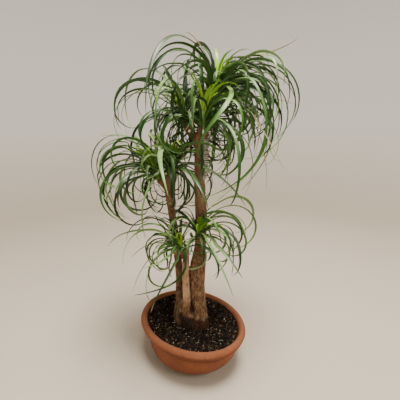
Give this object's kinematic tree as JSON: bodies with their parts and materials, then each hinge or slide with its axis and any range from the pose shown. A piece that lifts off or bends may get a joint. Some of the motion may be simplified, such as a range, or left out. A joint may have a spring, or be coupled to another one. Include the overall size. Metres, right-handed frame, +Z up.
{
  "type": "potted ponytail palm",
  "caption": "Potted ponytail palm: three bare grey stems with heads of long arching strap leaves, rooted in dark soil in an oval terracotta bowl with a thick rounded rim.",
  "frame": {"origin": "centre of the flat foot of the pot, on the surface it stands on", "axes": "+Z up along the height, +X to the right of the side that faces the viewer, +Y away from the viewer; the oval bowl's long side runs from back left to front right"},
  "size_m": [0.6641, 0.5326, 1.0415],
  "materials": {
    "terracotta": "matte",
    "potting_soil": "matte",
    "bark": "rough",
    "leaf": "satin",
    "young_leaf": "satin"
  },
  "bodies": {
    "root": {"pot": "terracotta", "soil": "potting_soil", "trunk": "bark", "leaves_A": "leaf", "heart_A": "young_leaf", "leaves_B": "leaf", "heart_B": "young_leaf", "leaves_C": "leaf", "heart_C": "young_leaf", "leaves_D": "leaf", "heart_D": "young_leaf", "leaves_E": "leaf", "heart_E": "young_leaf", "leaves_F": "leaf", "heart_F": "young_leaf", "leaves_G": "leaf", "heart_G": "young_leaf"}
  },
  "joints": []
}
